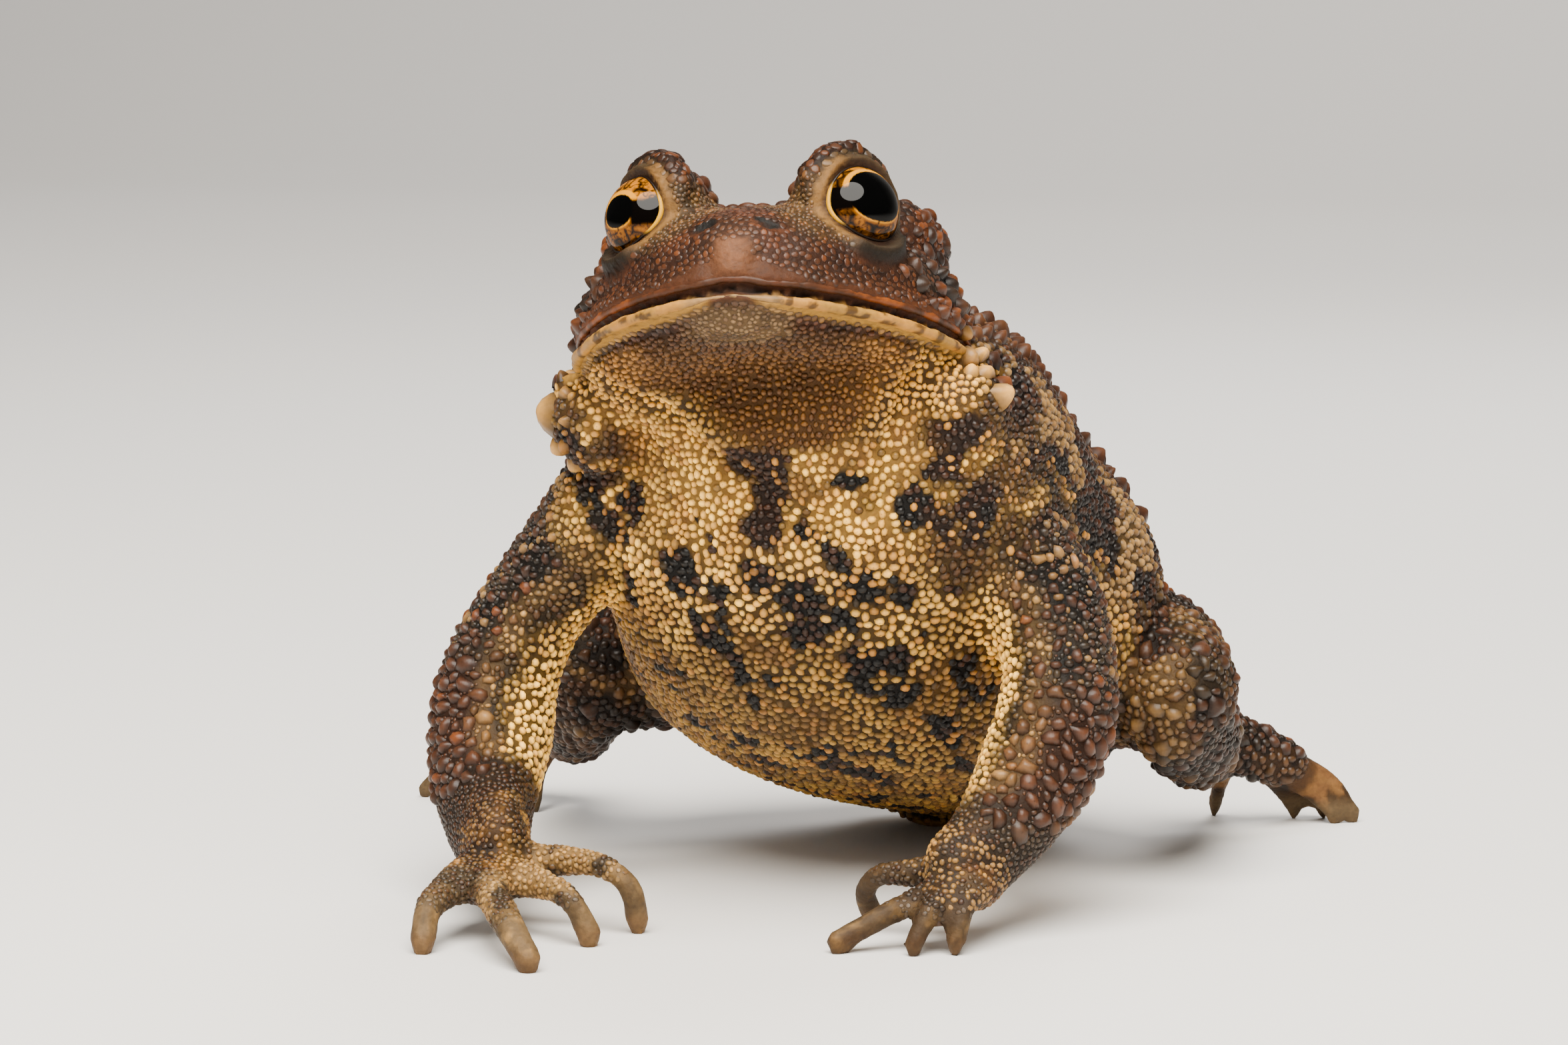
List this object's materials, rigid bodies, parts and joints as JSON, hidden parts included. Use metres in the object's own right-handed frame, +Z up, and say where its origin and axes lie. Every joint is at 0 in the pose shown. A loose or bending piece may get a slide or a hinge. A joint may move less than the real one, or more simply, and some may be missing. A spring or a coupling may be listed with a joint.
{
  "type": "american toad",
  "caption": "Life-size still model of an American toad sitting upright on spread front feet, head raised, for display.",
  "frame": {"origin": "on the floor under the middle of the whole toad's bounding box", "axes": "+Z up; the toad faces -Y with its left side towards +X"},
  "size_m": [0.0956, 0.096, 0.07],
  "materials": {
    "skin_brown": "satin, warty brown skin",
    "skin_cream": "satin, granular cream skin",
    "skin_limb": "satin, warty grey-brown skin",
    "eye": "wet gloss"
  },
  "bodies": {
    "root": {"head": "skin_brown", "torso": "skin_cream", "eye_left": "eye", "eye_right": "eye", "upper_arm_left": "skin_limb", "upper_arm_right": "skin_limb", "forearm_left": "skin_limb", "forearm_right": "skin_limb", "hand_left": "skin_limb", "hand_right": "skin_limb", "thigh_left": "skin_limb", "thigh_right": "skin_limb", "shank_left": "skin_limb", "shank_right": "skin_limb", "foot_left": "skin_limb", "foot_right": "skin_limb"}
  },
  "joints": []
}
